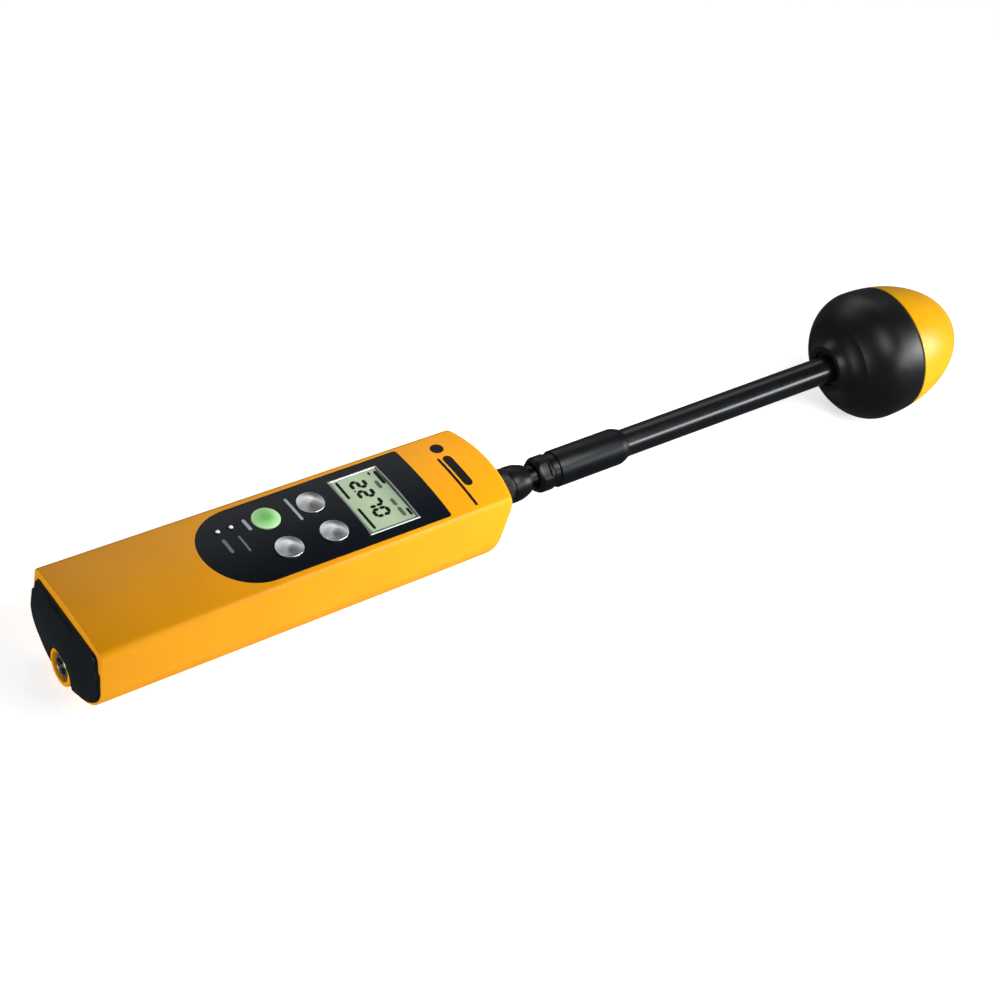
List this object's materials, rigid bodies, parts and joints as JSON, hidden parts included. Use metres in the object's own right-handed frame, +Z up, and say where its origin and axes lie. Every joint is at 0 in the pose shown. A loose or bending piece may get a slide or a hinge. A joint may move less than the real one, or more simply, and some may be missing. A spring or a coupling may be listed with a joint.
{
  "type": "radiation survey meter",
  "caption": "Hand-held radiation field meter: a long grip with keypad and small display, and a plug-in rod probe that ends in a two-colour ball.",
  "frame": {"origin": "on the surface that it lies on, below the middle of the whole length and width", "axes": "+X from the rear end of the grip to the tip of the probe, +Y to the left of the keypad, +Z up; the instrument lies on its belly's rear edge and on the ball, so its own axis rises 1.55 degrees towards the front of the grip"},
  "size_m": [0.4682, 0.061, 0.061],
  "materials": {
    "housing_orange": "satin moulded plastic, deep yellow-orange",
    "end_plastic": "satin black moulded plastic",
    "probe_black": "semi-gloss black plastic",
    "dome_yellow": "smooth semi-gloss yellow plastic",
    "seal_rubber": "black rubber ring",
    "panel_film": "fine-textured black film",
    "key_green": "light green translucent plastic",
    "key_grey": "satin metallic grey",
    "lamp_lens": "clear lens",
    "bezel_silver": "satin silver trim",
    "window_clear": "clear window",
    "display_face": "grey-green liquid crystal cell",
    "backlight_white": "white light guide",
    "switch_silicone": "grey silicone rubber",
    "circuit_board": "green solder mask",
    "chip_black": "matt black moulding",
    "shield_steel": "tinned sheet steel",
    "screw_steel": "bright steel",
    "bush_brass": "turned brass",
    "nickel_plate": "satin nickel plate",
    "inner_black": "matt black plastic",
    "cell_jacket": "plain dark blue sleeve",
    "carrier_white": "white insulating plastic"
  },
  "bodies": {
    "root": {"upper_housing": "housing_orange", "lower_housing": "housing_orange", "end_cap": "end_plastic", "keypad_overlay": "panel_film", "charge_lamp": "lamp_lens", "status_lamp": "lamp_lens", "display_bezel": "bezel_silver", "display_window": "window_clear", "display_glass": "display_face", "display_backlight": "backlight_white", "dome_switch_sheet": "switch_silicone", "key_board": "circuit_board", "main_board": "circuit_board", "processor": "chip_black", "converter": "chip_black", "buzzer": "chip_black", "shield_can": "shield_steel", "housing_screw_1": "screw_steel", "housing_screw_2": "screw_steel", "housing_screw_3": "screw_steel", "housing_screw_4": "screw_steel", "contact_spring_1": "screw_steel", "contact_spring_2": "screw_steel", "tripod_bush": "bush_brass", "charging_socket": "nickel_plate", "probe_connector": "nickel_plate", "connector_nut": "nickel_plate", "contact_negative": "nickel_plate", "contact_positive": "nickel_plate", "contact_bridge": "nickel_plate", "battery_tray": "inner_black", "connector_insert": "inner_black", "charging_insert": "inner_black", "cell_1": "cell_jacket", "cell_2": "cell_jacket"},
    "power_key": {"power_key": "key_green"},
    "key_rear_right": {"key_rear_right": "key_grey"},
    "key_front_left": {"key_front_left": "key_grey"},
    "key_front_right": {"key_front_right": "key_grey"},
    "battery_door": {"battery_door": "housing_orange"},
    "probe": {"probe_plug": "nickel_plate", "probe_collar": "probe_black", "probe_handle": "probe_black", "preamplifier": "circuit_board", "probe_tube": "probe_black", "sensor_line": "chip_black", "rear_dome": "probe_black", "dome_seal": "seal_rubber", "front_dome": "dome_yellow", "dipole_carrier": "carrier_white", "dipole_1": "circuit_board", "dipole_2": "circuit_board", "dipole_3": "circuit_board"},
    "release_sleeve": {"release_sleeve": "probe_black"}
  },
  "joints": [
    {"name": "power_key_press", "type": "slide", "parent": "root", "child": "power_key", "axis": [0.027, 0, -0.9996], "range_m": [0, 0.0008], "stiffness_N_per_m": 1500},
    {"name": "rear_right_key_press", "type": "slide", "parent": "root", "child": "key_rear_right", "axis": [0.027, 0, -0.9996], "range_m": [0, 0.0008], "stiffness_N_per_m": 1500},
    {"name": "front_left_key_press", "type": "slide", "parent": "root", "child": "key_front_left", "axis": [0.027, 0, -0.9996], "range_m": [0, 0.0008], "stiffness_N_per_m": 1500},
    {"name": "front_right_key_press", "type": "slide", "parent": "root", "child": "key_front_right", "axis": [0.027, 0, -0.9996], "range_m": [0, 0.0008], "stiffness_N_per_m": 1500},
    {"name": "battery_door_swing", "type": "hinge", "parent": "root", "child": "battery_door", "pos_m": [-0.15652, 0, 0.00197], "axis": [0, -1, 0], "range_deg": [0, 75]},
    {"name": "probe_unplug", "type": "slide", "parent": "root", "child": "probe", "axis": [0.9996, 0, 0.027], "range_m": [0, 0.02]},
    {"name": "sleeve_release", "type": "slide", "parent": "probe", "child": "release_sleeve", "axis": [0.9996, 0, 0.027], "range_m": [0, 0.0025], "stiffness_N_per_m": 1200}
  ]
}
